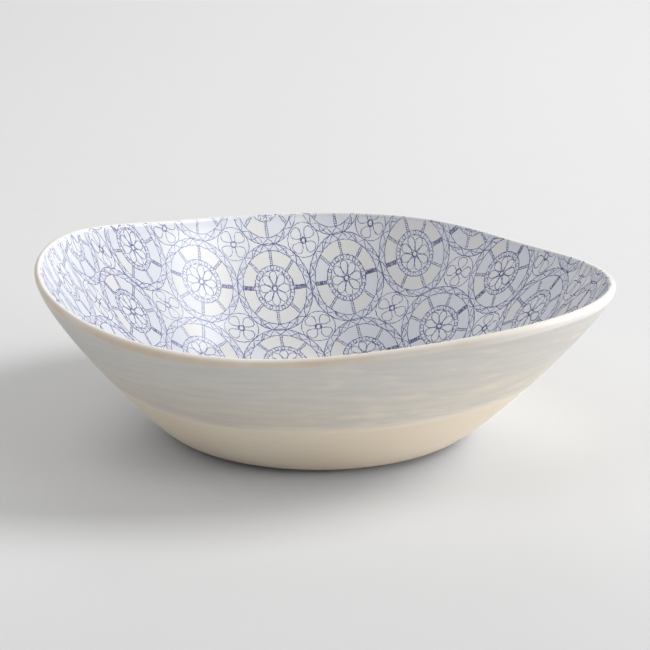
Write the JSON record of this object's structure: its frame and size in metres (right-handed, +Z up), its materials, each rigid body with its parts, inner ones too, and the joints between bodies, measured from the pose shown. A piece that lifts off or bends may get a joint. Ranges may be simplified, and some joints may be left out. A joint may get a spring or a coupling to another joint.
{
  "type": "serving bowl",
  "caption": "Wide shallow porcelain serving bowl with an uneven organic rim, low turned foot, glossy lace-printed inside and satin brushed outside.",
  "frame": {"origin": "on the table plane under the centre of the foot ring", "axes": "+Z up out of the bowl, +X toward the pointed end of the rim, -Y toward the near side of the rim"},
  "size_m": [0.32, 0.3172, 0.1089],
  "materials": {
    "clay_body": "bare fired porcelain, matte",
    "foot_ring": "bare fired porcelain, ground smooth",
    "exterior_glaze": "satin clear glaze over cream clay",
    "brushed_band": "satin blue-grey glaze with brush streaks",
    "rim_glaze": "gloss cream glaze, thin over the edge",
    "lace_print": "cobalt line print",
    "interior_glaze": "high gloss pale blue glaze"
  },
  "bodies": {
    "root": {"clay_body": "clay_body", "foot_ring": "foot_ring", "exterior_glaze": "exterior_glaze", "brushed_band": "brushed_band", "rim_glaze": "rim_glaze", "lace_print": "lace_print", "interior_glaze": "interior_glaze"}
  },
  "joints": []
}
